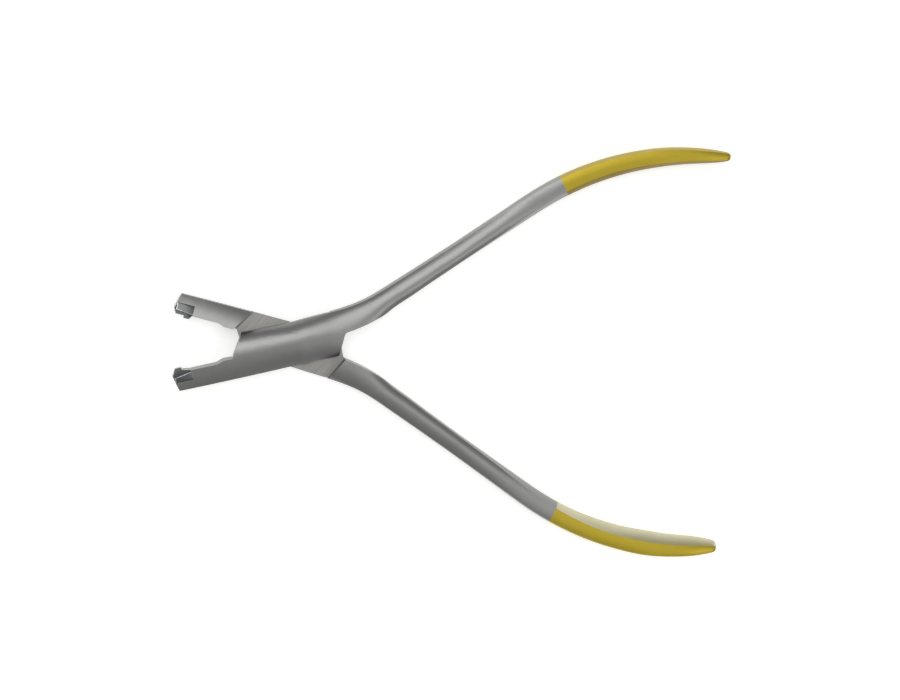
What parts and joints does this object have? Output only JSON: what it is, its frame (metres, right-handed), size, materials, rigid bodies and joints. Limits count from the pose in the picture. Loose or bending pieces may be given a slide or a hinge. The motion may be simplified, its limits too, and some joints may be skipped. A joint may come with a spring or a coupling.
{
  "type": "orthodontic pliers",
  "caption": "Steel lap-joint orthodontic cutter with brazed carbide tips that shear an archwire and gold-plated curved grips, shown open.",
  "frame": {"origin": "on the pivot axis, on the ground flat at the back of the joint that the closed or open tool lies on", "axes": "+X from the pivot to the handles along the middle line between the two halves at rest, +Z along the pivot out of the front face, +Y towards the handle of the front half"},
  "size_m": [0.136, 0.1019, 0.0081],
  "materials": {
    "satin_steel": "satin, finely bead-blasted stainless steel",
    "carbide": "ground tungsten carbide, dark grey",
    "silver_braze": "thin line of silver braze, dull",
    "gold_plate": "polished gold plating"
  },
  "bodies": {
    "rear": {"rear_half": "satin_steel", "rear_jaw_insert": "carbide", "rear_insert_braze": "silver_braze", "rear_handle_plating": "gold_plate"},
    "front": {"front_half": "satin_steel", "front_jaw_insert": "carbide", "front_insert_braze": "silver_braze", "front_handle_plating": "gold_plate", "pivot_rivet": "satin_steel"}
  },
  "joints": [
    {"name": "jaw_pivot", "type": "hinge", "parent": "rear", "child": "front", "pos_m": [0, 0, 0.0039], "axis": [0, 0, 1], "range_deg": [-26.5, 20]}
  ]
}
